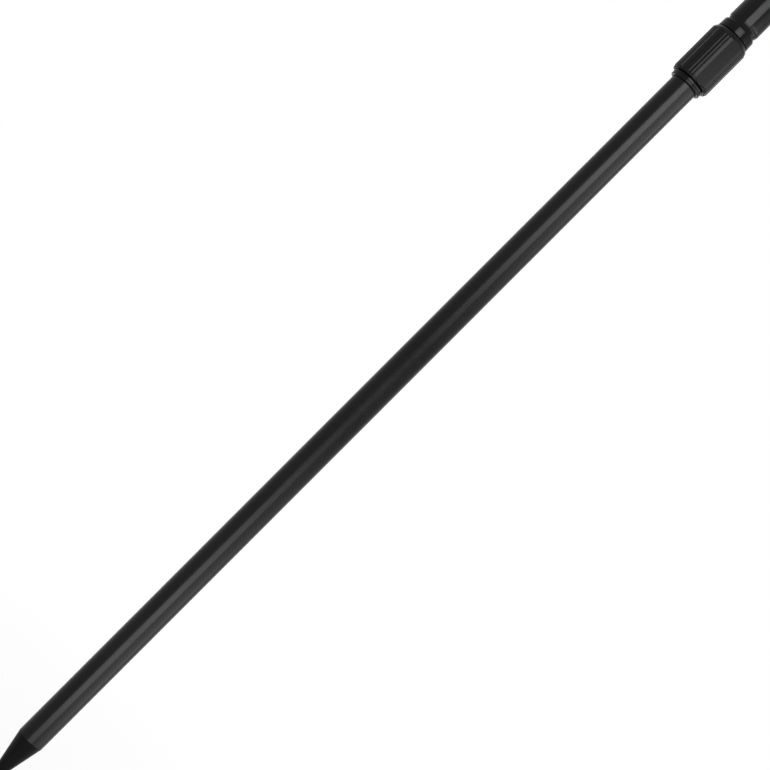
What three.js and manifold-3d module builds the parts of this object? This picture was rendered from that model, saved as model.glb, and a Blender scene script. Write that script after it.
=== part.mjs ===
// A telescopic bank stick, closed: a pointed aluminium tube that is pushed into the ground, an inner
// tube that slides in it, a twist lock where the two meet, and a threaded head for a rod rest.
// Lengths are in millimetres. The axis of the stick is Z, and the tip of its point is the origin.

import * as THREE from 'three';
import { mergeVertices } from 'three/addons/utils/BufferGeometryUtils.js';
import Module from 'manifold-3d';

const wasm = await Module();
wasm.setup();

// Clearances
const bondGap = 0.3;
const slideGap = 0.3;
const endGap = 0.3;

// Tubes and point
const outerTubeDiameter = 16;
const outerTubeWall = 1;
const outerTubeShownLength = 489;
const innerTubeWall = 1;
const tubeClearance = 1;
const stowedClearance = 55.95;
const pointLength = 38;
const pointTipRadius = 0.35;
const pointSpigotLength = 20;
const pointSpigotBevel = 1;

// Gland, the threaded collar on the upper end of the outer tube
const flangeStep = 1.725;
const flangeHeight = 3.1;
const beadRadius = 0.6;
const beadGrooveDepth = 0.4;
const beadGrooveWidth = 0.5;
const glandWall = 0.6;
const glandShoulderHeight = 1.6;
const glandChamberDepth = 4;
const glandMouthDepth = 1.2;
const glandMouthFlare = 0.6;

// Thread of the lock
const lockPitch = 2;
const lockThreadRelief = 2.4;
const lockThreadPlain = 6.6;
const lockThreadDepth = 0.6;
const lockThreadBase = 1.1;
const lockThreadCrest = 0.4;
const lockGrooveLead = 2;
const lockGrooveRunOut = 0.5;

// Nut core
const coreWall = 1.4;
const coreEndBevel = 0.2;
const coreMouthBevel = 0.3;
const coreNeckStep = 0.75;
const coreTubeGap = 0.4;
const noseStep = 0.4;
const noseHeight = 5.5;
const noseCrownHeight = 1.5;
const noseCrownWidth = 0.95;
const noseRimWidth = 0.3;
const bossPocketDepth = 2.9;

// Grip sleeve, moulded on the nut core
const sleeveWall = 1;
const sleeveLength = 32;
const sleeveGap = 0.25;
const sleeveStandOff = 0.1;
const sleeveFootHeight = 2;
const sleeveFootWall = 0.15;
const sleeveBevelHeight = 2.5;
const sleeveLipWall = 0.3;
const sleeveLipHeight = 2.1;
const seamWidth = 0.7;

// Lengthwise grooves of the grip, in degrees each side of the middle of a field
const gripFieldCount = 3;
const gripFieldAngle = -7.7;
const gripGrooveAngles = [8.75, 20.75, 33.5];
const gripGrooveRadius = 0.5;

// Collet
const colletWall = 1.3;
const colletHeight = 13.4;
const colletHeadroom = 1;
const colletCollarGap = 0.6;
const colletNoseWall = 1;
const colletNoseHeight = 1;
const colletConeHeight = 3.2;
const colletSlotWidth = 1;
const colletSlotCount = 6;
const colletSlotFloor = 3;

// Thrust ring and wiper
const thrustRingHeight = 3.8;
const wiperHeight = 2.2;
const wiperWall = 1.4;
const wiperBevel = 0.35;
const wiperPocketFloor = 2;
const wiperRoofHeight = 2.3;

// Head
const headLength = 37.3;
const headLift = 1;
const headFootStep = 0.35;
const headTaperWidth = 0.35;
const headTaperHeight = 1.35;
const headLineWidth = 0.35;
const headLineDepth = 0.25;
const headEdgeWidth = 0.3;
const headEdgeHeight = 0.95;
const headTopBevel = 0.6;
const bossHeight = 2.6;
const headSpigotLength = 18;
const headSpigotBevel = 0.8;

// Thread insert, for a 3/8 in BSF screw of 20 threads to the inch
const insertWall = 1.7375;
const insertLength = 14;
const insertRecess = 0.5;
const insertKnurlCount = 24;
const insertKnurlDepth = 0.35;
const screwMajorDiameter = 9.525;
const screwThreadDepth = 0.8125;
const screwPitch = 1.27;
const screwCrest = 0.27;
const screwGrooveFloor = 0.25;
const screwMouthBevel = 0.6;

// Tail bush and its glide rings
const tailCollarLength = 20;
const tailSpigotLength = 14;
const tailVentDiameter = 3;
const tailBevel = 0.8;
const glideGrooveDepth = 1.3;
const glideRingHeight = 2;
const glideRingInset = 2.6;
const glideRingSplit = 1;
const glideRingGap = 0.25;

// Facets
const turnFacets = 36;
const gripFacets = 72;
const lockThreadFacets = 18;
const screwFacets = 16;
const grooveFacets = 8;
const arcSteps = 3;

// One overrun serves every cut, and one distance every weld.
const overrun = 1;
const weldDistance = 1e-4;
const fullTurn = 2 * Math.PI;

// Radii, worked out from the outer tube: inwards to the inner tube, and outwards through the gland and the
// nut core to the grip, the nose and the head
const outerRadius = outerTubeDiameter / 2;
const outerBore = outerRadius - outerTubeWall;
const innerRadius = outerBore - tubeClearance;
const innerBore = innerRadius - innerTubeWall;
const innerPass = innerRadius + slideGap;
const wiperRadius = innerPass + wiperWall;
const colletFootRadius = innerPass + colletWall;
const colletNose = innerPass + colletNoseWall;
const glandChamber = colletFootRadius + slideGap;
const glandBore = outerRadius + bondGap;
const glandRoot = glandBore + glandWall;
const flangeRadius = outerRadius + flangeStep;
const coreBore = glandRoot + slideGap;
const coreRadius = coreBore + coreWall;
const coreNeck = coreRadius - coreNeckStep;
const colletCollar = coreBore - colletCollarGap;
const noseRadius = coreNeck + noseStep;
const bossPocket = noseRadius - noseCrownWidth - noseRimWidth;
const bossRadius = bossPocket - slideGap;
const headFootRadius = bossRadius + headFootStep;
const headTaperRadius = headFootRadius + headTaperWidth;
const headRadius = headTaperRadius + headEdgeWidth;
const sleeveBore = coreRadius + sleeveGap;
const sleeveRadius = sleeveBore + sleeveWall;
const screwMajor = screwMajorDiameter / 2;
const insertRadius = screwMajor + insertWall;
const lockFlank = (lockThreadBase - lockThreadCrest) / lockThreadDepth;

// Heights above the tip. The nut stands on the gland's flange, and its pockets are set down from its nose.
// The collet hangs under its seat, and the outer tube ends under the collet.
const glandFoot = pointLength + outerTubeShownLength;
const coreFoot = glandFoot + flangeHeight + endGap;
const sleeveFoot = coreFoot + sleeveStandOff;
const sleeveTop = sleeveFoot + sleeveLength;
const noseFoot = sleeveTop + seamWidth;
const noseTop = noseFoot + noseHeight;
const bossPocketFloor = noseTop - bossPocketDepth;
const wiperPocketTop = bossPocketFloor - wiperRoofHeight;
const wiperPocketFoot = wiperPocketTop - wiperHeight - 2 * endGap;
const wiperFoot = wiperPocketFoot + endGap;
const coreSeat = wiperPocketFoot - wiperPocketFloor;
const thrustFoot = coreSeat - endGap - thrustRingHeight;
const colletFoot = coreSeat - colletHeadroom - colletHeight;
const glandShoulderTop = colletFoot - endGap;
const outerTubeTop = glandShoulderTop - glandShoulderHeight;
const glandTop = glandShoulderTop + glandChamberDepth;
const lockThreadFoot = glandFoot + flangeHeight + lockThreadRelief;
const lockThreadTurns = (glandTop - lockThreadPlain - lockThreadFoot) / lockPitch;
const headFoot = noseTop + headLift;
const headTop = headFoot + headLength;
const insertFoot = headTop - insertRecess - insertLength;
const innerTubeTop = headFoot - bossHeight;
const tailFoot = pointLength + pointSpigotLength + stowedClearance;
const innerTubeFoot = tailFoot + tailCollarLength;
const innerTubeLength = innerTubeTop - innerTubeFoot;

// A shell with one vertex at each place and no triangle without area
function weld(geometry) {
  const bare = geometry.clone();
  bare.deleteAttribute('normal');
  bare.deleteAttribute('uv');
  const welded = mergeVertices(bare, weldDistance);
  const corners = Array.from(welded.index.array);
  const kept = [];
  for (let i = 0; i < corners.length; i += 3) {
    const [a, b, c] = corners.slice(i, i + 3);
    if (a !== b && b !== c && c !== a) kept.push(a, b, c);
  }
  welded.setIndex(kept);
  return welded;
}

function toSolid(geometry) {
  const shell = weld(geometry);
  return new wasm.Manifold(new wasm.Mesh({
    numProp: 3,
    vertProperties: new Float32Array(shell.attributes.position.array),
    triVerts: new Uint32Array(shell.index.array),
  }));
}

function toGeometry(solid) {
  const mesh = solid.getMesh();
  const geometry = new THREE.BufferGeometry();
  geometry.setAttribute('position', new THREE.BufferAttribute(mesh.vertProperties, 3));
  geometry.setIndex(new THREE.BufferAttribute(mesh.triVerts, 1));
  return geometry;
}

function cut(geometry, cutters) {
  return toGeometry(cutters.reduce((rest, cutter) => rest.subtract(toSolid(cutter)), toSolid(geometry)));
}

// A turned piece. The outline gives radius and height: out along the foot, up the outside, in along the
// top and down the bore. It starts and ends on the axis, or else it closes on itself.
function turned(outline, facets = turnFacets) {
  const bored = outline[0][0] > 0;
  const closed = bored ? [...outline, outline[0]] : outline;
  const profile = closed.map(([radius, height]) => new THREE.Vector2(radius, height));
  return weld(new THREE.LatheGeometry(profile, facets).rotateX(Math.PI / 2));
}

// Points of a quarter of an ellipse, from one angle to another in quarter turns
function quarter(centreRadius, centreHeight, width, height, from, to) {
  const points = [];
  for (let step = 0; step <= arcSteps; step += 1) {
    const angle = (from + ((to - from) * step) / arcSteps) * (fullTurn / 4);
    points.push([centreRadius + width * Math.cos(angle), centreHeight + height * Math.sin(angle)]);
  }
  return points;
}

// A right-hand helical bar: a section of radii and heights, wound up by one pitch a turn
function helicalBar(section, pitch, firstTurn, turns, facetsPerTurn) {
  const sides = section.length;
  const steps = Math.round(turns * facetsPerTurn);
  const positions = [];
  const indices = [];
  for (let step = 0; step <= steps; step += 1) {
    const turn = firstTurn + step / facetsPerTurn;
    for (const [radius, height] of section) {
      positions.push(radius * Math.cos(turn * fullTurn));
      positions.push(radius * Math.sin(turn * fullTurn));
      positions.push(height + pitch * turn);
    }
  }
  for (let step = 0; step < steps; step += 1) {
    for (let side = 0; side < sides; side += 1) {
      const here = step * sides + side;
      const beside = step * sides + ((side + 1) % sides);
      indices.push(here, here + sides, beside, beside, here + sides, beside + sides);
    }
  }
  const last = steps * sides;
  for (let side = 1; side < sides - 1; side += 1) {
    indices.push(0, side, side + 1);
    indices.push(last, last + side + 1, last + side);
  }
  const geometry = new THREE.BufferGeometry();
  geometry.setAttribute('position', new THREE.Float32BufferAttribute(positions, 3));
  geometry.setIndex(indices);
  return geometry;
}

// Width of the lock's thread at a radius, and of the groove that it runs in
const lockRidgeWidth = (radius) => lockThreadBase - lockFlank * (radius - glandRoot);
const lockGrooveWidth = (radius) => lockRidgeWidth(radius) + 2 * slideGap;

// Solid point with a spigot that is bonded into the foot of the outer tube
function spikePoint() {
  const spigot = outerBore - bondGap;
  const top = pointLength + pointSpigotLength;
  return turned([
    ...quarter(0, pointTipRadius, pointTipRadius, pointTipRadius, -1, 0),
    [outerRadius, pointLength],
    [spigot, pointLength],
    [spigot, top - pointSpigotBevel],
    [spigot - pointSpigotBevel, top],
    [0, top],
  ]);
}

function tube(radius, bore, length) {
  return turned([[bore, 0], [radius, 0], [radius, length], [bore, length]]);
}

// Collar bonded over the upper end of the outer tube. Its flange shows below the grip, its inner shoulder
// stops the tail bush, and its chamber with a flared mouth holds the foot of the collet.
function lockGland() {
  const bead = flangeRadius - beadRadius;
  const grooveFoot = (flangeHeight - beadGrooveWidth) / 2;
  const grooveTop = (flangeHeight + beadGrooveWidth) / 2;
  const socketTop = outerTubeTop - glandFoot;
  const shoulderTop = glandShoulderTop - glandFoot;
  const top = glandTop - glandFoot;
  const body = turned([
    [glandBore, 0],
    ...quarter(bead, beadRadius, beadRadius, beadRadius, -1, 0),
    [flangeRadius, grooveFoot],
    [flangeRadius - beadGrooveDepth, grooveFoot],
    [flangeRadius - beadGrooveDepth, grooveTop],
    [flangeRadius, grooveTop],
    ...quarter(bead, flangeHeight - beadRadius, beadRadius, beadRadius, 0, 1),
    [glandRoot, flangeHeight],
    [glandRoot, top],
    [glandChamber + glandMouthFlare, top],
    [glandChamber, top - glandMouthDepth],
    [glandChamber, shoulderTop],
    [innerPass, shoulderTop],
    [innerPass, socketTop],
    [glandBore, socketTop],
  ]);
  const root = (glandRoot + glandBore) / 2;
  const crest = glandRoot + lockThreadDepth;
  const ridge = helicalBar([
    [root, -lockRidgeWidth(glandRoot) / 2],
    [glandRoot, -lockRidgeWidth(glandRoot) / 2],
    [crest, -lockRidgeWidth(crest) / 2],
    [crest, lockRidgeWidth(crest) / 2],
    [glandRoot, lockRidgeWidth(glandRoot) / 2],
    [root, lockRidgeWidth(glandRoot) / 2],
  ], lockPitch, 0, lockThreadTurns, lockThreadFacets);
  ridge.translate(0, 0, lockThreadFoot - glandFoot);
  return toGeometry(toSolid(body).add(toSolid(ridge)));
}

// Split sleeve that the lock squeezes on to the inner tube. One slot goes right through its wall, and the
// others stop above its foot.
function collet() {
  const seat = glandChamberDepth - glandMouthDepth;
  const seatRise = ((colletCollar - colletFootRadius) * glandMouthDepth) / glandMouthFlare;
  const body = turned([
    [innerPass, 0],
    [colletFootRadius, 0],
    [colletFootRadius, seat],
    [colletCollar, seat + seatRise],
    [colletCollar, colletHeight - colletNoseHeight - colletConeHeight],
    [colletNose, colletHeight - colletNoseHeight],
    [colletNose, colletHeight],
    [innerPass, colletHeight],
  ]);
  const slots = [];
  for (let slot = 0; slot < colletSlotCount; slot += 1) {
    const floor = slot === 0 ? -overrun : colletSlotFloor;
    const height = colletHeight + overrun - floor;
    const cutter = new THREE.BoxGeometry(colletCollar, colletSlotWidth, height);
    cutter.translate((innerPass + colletCollar) / 2, 0, floor + height / 2);
    slots.push(cutter.rotateZ((slot * fullTurn) / colletSlotCount));
  }
  return cut(body, slots);
}

// Ring that the shoulder of the nut pushes down over the cone of the collet, without turning it
function thrustRing() {
  const nose = colletNose + slideGap;
  const collar = colletCollar + slideGap;
  const coneTop = colletFoot + colletHeight - colletNoseHeight - thrustFoot;
  const mouth = nose + ((collar - nose) * coneTop) / colletConeHeight;
  const rim = coreBore - slideGap;
  return turned([
    [mouth, 0],
    [rim, 0],
    [rim, thrustRingHeight],
    [nose, thrustRingHeight],
    [nose, coneTop],
  ]);
}

// Threaded core of the nut. The grip sleeve is moulded round it up to its neck, and its nose shows above.
function nutCore() {
  const pass = innerRadius + coreTubeGap;
  const wiperPocket = wiperRadius + slideGap;
  const crown = noseRadius - noseCrownWidth;
  const neckFoot = sleeveTop - sleeveLipHeight - sleeveGap - coreFoot;
  const top = noseTop - coreFoot;
  const pocketFloor = bossPocketFloor - coreFoot;
  const wiperRoof = wiperPocketTop - coreFoot;
  const wiperFloor = wiperPocketFoot - coreFoot;
  const seat = coreSeat - coreFoot;
  const body = turned([
    [coreBore + coreMouthBevel, 0],
    [coreRadius - coreEndBevel, 0],
    [coreRadius, coreEndBevel],
    [coreRadius, neckFoot],
    [coreNeck, neckFoot],
    [coreNeck, noseFoot - coreFoot],
    [noseRadius, noseFoot - coreFoot],
    ...quarter(crown, top - noseCrownHeight, noseCrownWidth, noseCrownHeight, 0, 1),
    [bossPocket, top],
    [bossPocket, pocketFloor],
    [pass, pocketFloor],
    [pass, wiperRoof],
    [wiperPocket, wiperRoof],
    [wiperPocket, wiperFloor],
    [pass, wiperFloor],
    [pass, seat],
    [coreBore, seat],
    [coreBore, coreMouthBevel],
  ]);
  const inside = coreBore - slideGap;
  const floor = glandRoot + lockThreadDepth + slideGap;
  const groove = helicalBar([
    [inside, -lockGrooveWidth(coreBore) / 2],
    [coreBore, -lockGrooveWidth(coreBore) / 2],
    [floor, -lockGrooveWidth(floor) / 2],
    [floor, lockGrooveWidth(floor) / 2],
    [coreBore, lockGrooveWidth(coreBore) / 2],
    [inside, lockGrooveWidth(coreBore) / 2],
  ], lockPitch, -lockGrooveLead, lockThreadTurns + lockGrooveLead + lockGrooveRunOut, lockThreadFacets);
  groove.translate(0, 0, lockThreadFoot - coreFoot);
  return cut(body, [groove]);
}

// Grip sleeve: a rounded foot, a long bevel at the top, and fields of grooves between plain lands
function gripSleeve() {
  const lipBore = coreNeck + sleeveGap;
  const foot = sleeveBore + sleeveFootWall;
  const body = turned([
    [sleeveBore, 0],
    ...quarter(foot, sleeveFootHeight, sleeveRadius - foot, sleeveFootHeight, -1, 0),
    [sleeveRadius, sleeveLength - sleeveBevelHeight],
    [lipBore + sleeveLipWall, sleeveLength],
    [lipBore, sleeveLength],
    [lipBore, sleeveLength - sleeveLipHeight],
    [sleeveBore, sleeveLength - sleeveLipHeight],
  ], gripFacets);
  const grooves = [];
  for (let field = 0; field < gripFieldCount; field += 1) {
    const middle = THREE.MathUtils.degToRad(gripFieldAngle) + (field * fullTurn) / gripFieldCount;
    for (const offset of gripGrooveAngles.map(THREE.MathUtils.degToRad)) {
      for (const angle of [middle - offset, middle + offset]) {
        const height = sleeveLength + 2 * overrun;
        const cutter = new THREE.CylinderGeometry(gripGrooveRadius, gripGrooveRadius, height, grooveFacets);
        cutter.rotateX(fullTurn / 4);
        cutter.translate(sleeveRadius, 0, sleeveLength / 2);
        grooves.push(cutter.rotateZ(angle));
      }
    }
  }
  return cut(body, grooves);
}

// Rubber ring in the nut that keeps grit off the lock
function wiperSeal() {
  return turned([
    [innerPass, wiperBevel],
    [innerPass + wiperBevel, 0],
    [wiperRadius, 0],
    [wiperRadius, wiperHeight],
    [innerPass + wiperBevel, wiperHeight],
    [innerPass, wiperHeight - wiperBevel],
  ]);
}

// Turned head. Its spigot is bonded in the inner tube, its boss drops into the nose of the nut, and its
// top is bored for the thread insert. Heights are measured from the foot of its taper.
function head() {
  const spigot = innerBore - bondGap;
  const spigotFoot = -bossHeight - headSpigotLength;
  const line = headTaperRadius - headLineDepth;
  const socket = insertRadius + bondGap;
  const lineTop = headTaperHeight + headLineWidth;
  return turned([
    [0, spigotFoot],
    [spigot - headSpigotBevel, spigotFoot],
    [spigot, spigotFoot + headSpigotBevel],
    [spigot, -bossHeight],
    [bossRadius, -bossHeight],
    [bossRadius, 0],
    [headFootRadius, 0],
    [headTaperRadius, headTaperHeight],
    [line, headTaperHeight],
    [line, lineTop],
    [headTaperRadius, lineTop],
    [headRadius, lineTop + headEdgeHeight],
    [headRadius, headLength - headTopBevel],
    [headRadius - headTopBevel, headLength],
    [socket, headLength],
    [socket, insertFoot - headFoot],
    [0, insertFoot - headFoot],
  ]);
}

// Knurled bush with the thread for the rod rest
function threadInsert() {
  const outline = new THREE.Shape();
  for (let corner = 0; corner < 2 * insertKnurlCount; corner += 1) {
    const angle = (corner * fullTurn) / (2 * insertKnurlCount);
    const radius = insertRadius - (corner % 2 ? insertKnurlDepth : 0);
    const [x, y] = [radius * Math.cos(angle), radius * Math.sin(angle)];
    if (corner === 0) outline.moveTo(x, y);
    else outline.lineTo(x, y);
  }
  outline.closePath();
  const body = new THREE.ExtrudeGeometry(outline, { depth: insertLength, bevelEnabled: false });
  const minor = screwMajor - screwThreadDepth;
  const mouth = screwMajor + screwMouthBevel;
  const grooveMouth = screwPitch - screwCrest;
  const bore = turned([
    [0, -overrun],
    [minor, -overrun],
    [minor, insertLength - (mouth - minor)],
    [mouth, insertLength],
    [mouth, insertLength + overrun],
    [0, insertLength + overrun],
  ], screwFacets);
  const turns = Math.ceil(insertLength / screwPitch) + 2;
  const groove = helicalBar([
    [minor - grooveMouth / 2, -grooveMouth / 2],
    [minor, -grooveMouth / 2],
    [screwMajor, -screwGrooveFloor / 2],
    [screwMajor, screwGrooveFloor / 2],
    [minor, grooveMouth / 2],
    [minor - grooveMouth / 2, grooveMouth / 2],
  ], screwPitch, -1, turns, screwFacets);
  return cut(body, [bore, groove]);
}

// Plug in the foot of the inner tube. Its collar runs in the outer tube on two glide rings, and a vent
// lets the air past.
function tailBush() {
  const vent = tailVentDiameter / 2;
  const collar = outerBore - slideGap;
  const spigot = innerBore - bondGap;
  const top = tailCollarLength + tailSpigotLength;
  const grooveFloor = collar - glideGrooveDepth;
  const grooves = glideGrooveFeet().flatMap((foot) => {
    const roof = foot + glideRingHeight + 2 * endGap;
    return [[collar, foot], [grooveFloor, foot], [grooveFloor, roof], [collar, roof]];
  });
  return turned([
    [vent, 0],
    [collar - tailBevel, 0],
    [collar, tailBevel],
    ...grooves,
    [collar, tailCollarLength],
    [spigot, tailCollarLength],
    [spigot, top - tailBevel],
    [spigot - tailBevel, top],
    [vent, top],
  ]);
}

// Heights of the two ring grooves above the foot of the tail bush
function glideGrooveFeet() {
  const upper = tailCollarLength - glideRingInset - glideRingHeight - 2 * endGap;
  return [glideRingInset, upper];
}

// Split ring between the tail bush and the bore of the outer tube
function glideRing() {
  const bore = outerBore - glideGrooveDepth;
  const rim = outerBore - glideRingGap;
  const ring = turned([[bore, 0], [rim, 0], [rim, glideRingHeight], [bore, glideRingHeight]]);
  const split = new THREE.BoxGeometry(rim, glideRingSplit, glideRingHeight + 2 * overrun);
  split.translate((bore + rim) / 2, 0, glideRingHeight / 2);
  return cut(ring, [split]);
}

// Finishes
const finish = (color, roughness, metalness) =>
  new THREE.MeshStandardMaterial({ color, roughness, metalness });
const blackAnodised = finish(0x2a2b2d, 0.42, 0.75);
const blackTurned = finish(0x2c2e31, 0.3, 0.8);
const blackPoint = finish(0x1f2021, 0.5, 0.7);
const gripPlastic = finish(0x333537, 0.6, 0);
const satinPlastic = finish(0x1c1d1e, 0.35, 0);
const acetal = finish(0xd8d6cf, 0.5, 0);
const rubber = finish(0x1a1a1b, 0.8, 0);
const brass = finish(0xb08d4a, 0.35, 1);

function piece(name, geometry, material, height) {
  const mesh = new THREE.Mesh(geometry, material);
  mesh.name = name;
  mesh.position.z = height;
  return mesh;
}

const lowerSection = new THREE.Group();
lowerSection.add(
  piece('spike_point', spikePoint(), blackPoint, 0),
  piece('outer_tube', tube(outerRadius, outerBore, outerTubeTop - pointLength), blackAnodised, pointLength),
  piece('lock_gland', lockGland(), blackTurned, glandFoot),
  piece('collet', collet(), acetal, colletFoot),
);

const twistLock = new THREE.Group();
twistLock.add(
  piece('thrust_ring', thrustRing(), acetal, thrustFoot),
  piece('nut_core', nutCore(), satinPlastic, coreFoot),
  piece('grip_sleeve', gripSleeve(), gripPlastic, sleeveFoot),
  piece('wiper_seal', wiperSeal(), rubber, wiperFoot),
);

const upperSection = new THREE.Group();
upperSection.add(
  piece('head', head(), blackTurned, headFoot),
  piece('thread_insert', threadInsert(), brass, insertFoot),
  piece('inner_tube', tube(innerRadius, innerBore, innerTubeLength), blackAnodised, innerTubeFoot),
  piece('tail_bush', tailBush(), acetal, tailFoot),
);
glideGrooveFeet().forEach((foot, place) => {
  const name = place === 0 ? 'glide_ring_lower' : 'glide_ring_upper';
  upperSection.add(piece(name, glideRing(), acetal, tailFoot + foot + endGap));
});

const bankStick = new THREE.Group();
bankStick.add(lowerSection, twistLock, upperSection);

export default bankStick;
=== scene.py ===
import math

import bmesh
import bpy
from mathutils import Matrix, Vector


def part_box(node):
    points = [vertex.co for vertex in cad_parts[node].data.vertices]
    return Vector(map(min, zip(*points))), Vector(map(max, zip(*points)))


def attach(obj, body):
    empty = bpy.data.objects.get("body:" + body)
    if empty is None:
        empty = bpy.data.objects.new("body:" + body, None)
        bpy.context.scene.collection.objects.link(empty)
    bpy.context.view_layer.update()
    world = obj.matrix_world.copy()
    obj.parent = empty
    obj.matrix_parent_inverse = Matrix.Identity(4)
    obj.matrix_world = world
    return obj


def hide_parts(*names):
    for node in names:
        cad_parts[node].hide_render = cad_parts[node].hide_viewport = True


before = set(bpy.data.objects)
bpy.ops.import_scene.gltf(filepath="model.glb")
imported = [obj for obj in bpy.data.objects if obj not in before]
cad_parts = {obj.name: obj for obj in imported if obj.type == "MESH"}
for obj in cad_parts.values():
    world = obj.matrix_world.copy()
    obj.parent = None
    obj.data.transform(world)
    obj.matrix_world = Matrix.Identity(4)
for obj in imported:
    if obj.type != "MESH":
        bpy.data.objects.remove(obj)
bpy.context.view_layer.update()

MM = 0.001

# ---- Stage: the picture is taken level with the middle of the stick by a long lens, which is rolled by an
# eighth of a turn, so that the stick runs from the lower left corner, point first, to the upper right.
picture_height = 302.9 * MM
camera_distance = 951.9 * MM
bpy.ops.object.camera_add(
    location=(0, -camera_distance, picture_height),
    rotation=(math.radians(90), math.radians(-45), 0),
)
camera = bpy.context.object
camera.data.sensor_width = 36
camera.data.lens = 84
bpy.context.scene.camera = camera
bpy.context.scene.view_settings.view_transform = "Standard"


def softbox(name, bearing, distance, rise, width, length, power):
    """A long lamp that faces the stick, at a bearing from the camera towards the stick's right."""
    angle = math.radians(bearing)
    place = (distance * math.sin(angle), -distance * math.cos(angle), picture_height + rise)
    bpy.ops.object.light_add(type="AREA", location=place)
    lamp = bpy.context.object
    lamp.name = name
    lamp.rotation_euler = (math.radians(90) - math.atan2(rise, distance), 0, angle)
    lamp.data.shape = "RECTANGLE"
    lamp.data.size = width
    lamp.data.size_y = length
    lamp.data.energy = power


# Softboxes stand beside the camera, wide ones to the right, and narrow ones straight behind the stick for its
# back. Each side has two above and two below the middle of the stick, which overlap, so that their light fades
# towards the shade of the camera between them.
for side, end, front_end, right_end, level in ((1, "upper", 0.64, 0.525, 1), (-1, "lower", 0.56, 0.52, 0.88)):
    for part, near, share in (("long", 0.14, 0.45), ("short", 0.25, 0.55)):
        for lamp, bearing, distance, width, far, strength in (
            ("front", 9, 1.1, 0.9, front_end, 22),
            ("right", 72, 0.9, 1.2, right_end, 12.5),
            ("back", 180, 1.1, 0.45, 0.6, 4.5),
        ):
            middle = side * (far + near) / 2
            power = strength * level * share * (far - near)
            softbox(f"{lamp}_{end}_{part}", bearing, distance, middle, width, far - near, power)


def seen_or_mirrored(nodes, links):
    """1 for a ray that shows the surroundings themselves, 0 for one that only gathers their light."""
    path = nodes.new("ShaderNodeLightPath")
    mirrored = nodes.new("ShaderNodeMath")
    mirrored.operation = "MAXIMUM"
    links.new(path.outputs["Is Glossy Ray"], mirrored.inputs[0])
    links.new(path.outputs["Is Transmission Ray"], mirrored.inputs[1])
    either = nodes.new("ShaderNodeMath")
    either.operation = "MAXIMUM"
    links.new(path.outputs["Is Camera Ray"], either.inputs[0])
    links.new(mirrored.outputs[0], either.inputs[1])
    return either.outputs[0]


# The surroundings are white where they are seen or mirrored, and a soft grey light otherwise.
white = (1, 1, 1, 1)
soft_grey = (0.4, 0.4, 0.4, 1)
world = bpy.data.worlds.new("studio")
world.use_nodes = True
bpy.context.scene.world = world
sky_nodes = world.node_tree.nodes
sky_links = world.node_tree.links
sky_mix = sky_nodes.new("ShaderNodeMix")
sky_mix.data_type = "RGBA"
sky_mix.inputs["A"].default_value = soft_grey
sky_mix.inputs["B"].default_value = white
sky_links.new(seen_or_mirrored(sky_nodes, sky_links), sky_mix.inputs["Factor"])
sky_links.new(sky_mix.outputs["Result"], sky_nodes["Background"].inputs["Color"])

# The floor that the point stands on keeps a soft shadow and passes into the white round it.
floor_size = 12
floor_fade = 0.5
floor_glow_share = 0.88
bpy.ops.object.select_all(action="DESELECT")
bpy.ops.mesh.primitive_plane_add(size=floor_size)
floor = bpy.context.object
floor.name = "floor"
floor.visible_shadow = False
floor.visible_glossy = False
floor_paint = bpy.data.materials.new("floor_white")
floor_paint.use_nodes = True
floor_nodes = floor_paint.node_tree.nodes
floor_links = floor_paint.node_tree.links
floor_base = floor_nodes["Principled BSDF"]
floor_base.inputs["Base Color"].default_value = (0.86, 0.86, 0.86, 1)
floor_base.inputs["Roughness"].default_value = 0.9
floor_base.inputs["Specular IOR Level"].default_value = 0
floor_glow = floor_nodes.new("ShaderNodeEmission")
floor_mix = floor_nodes.new("ShaderNodeMixShader")
floor_share = floor_nodes.new("ShaderNodeMath")
floor_share.operation = "MULTIPLY"
floor_place = floor_nodes.new("ShaderNodeTexCoord")
floor_reach = floor_nodes.new("ShaderNodeVectorMath")
floor_reach.operation = "LENGTH"
floor_links.new(floor_place.outputs["Object"], floor_reach.inputs[0])
floor_spread = floor_nodes.new("ShaderNodeMapRange")
floor_spread.interpolation_type = "SMOOTHSTEP"
floor_spread.inputs["From Max"].default_value = floor_fade
floor_spread.inputs["To Min"].default_value = floor_glow_share
floor_links.new(floor_reach.outputs["Value"], floor_spread.inputs["Value"])
floor_links.new(floor_spread.outputs["Result"], floor_share.inputs[1])
floor_links.new(seen_or_mirrored(floor_nodes, floor_links), floor_share.inputs[0])
floor_links.new(floor_share.outputs[0], floor_mix.inputs["Fac"])
floor_links.new(floor_base.outputs[0], floor_mix.inputs[1])
floor_links.new(floor_glow.outputs[0], floor_mix.inputs[2])
floor_links.new(floor_mix.outputs[0], floor_nodes["Material Output"].inputs["Surface"])
floor.data.materials.append(floor_paint)

# ---- Point: a solid aluminium bar turned to a tip, flush with the tube at its base, and bonded into the tube by
# its spigot. It is anodised black, fine rings from the lathe run round it, and its tip and edges are lighter, partly
# rubbed and partly a painted highlight.
point_length = 38
point_tip_radius = 0.35
point_spigot_radius = 6.7
point_spigot_top = 58
point_spigot_bevel = 1
outer_tube_radius = 8
same_place = 0.002
smooth_below = math.radians(35)


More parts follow.
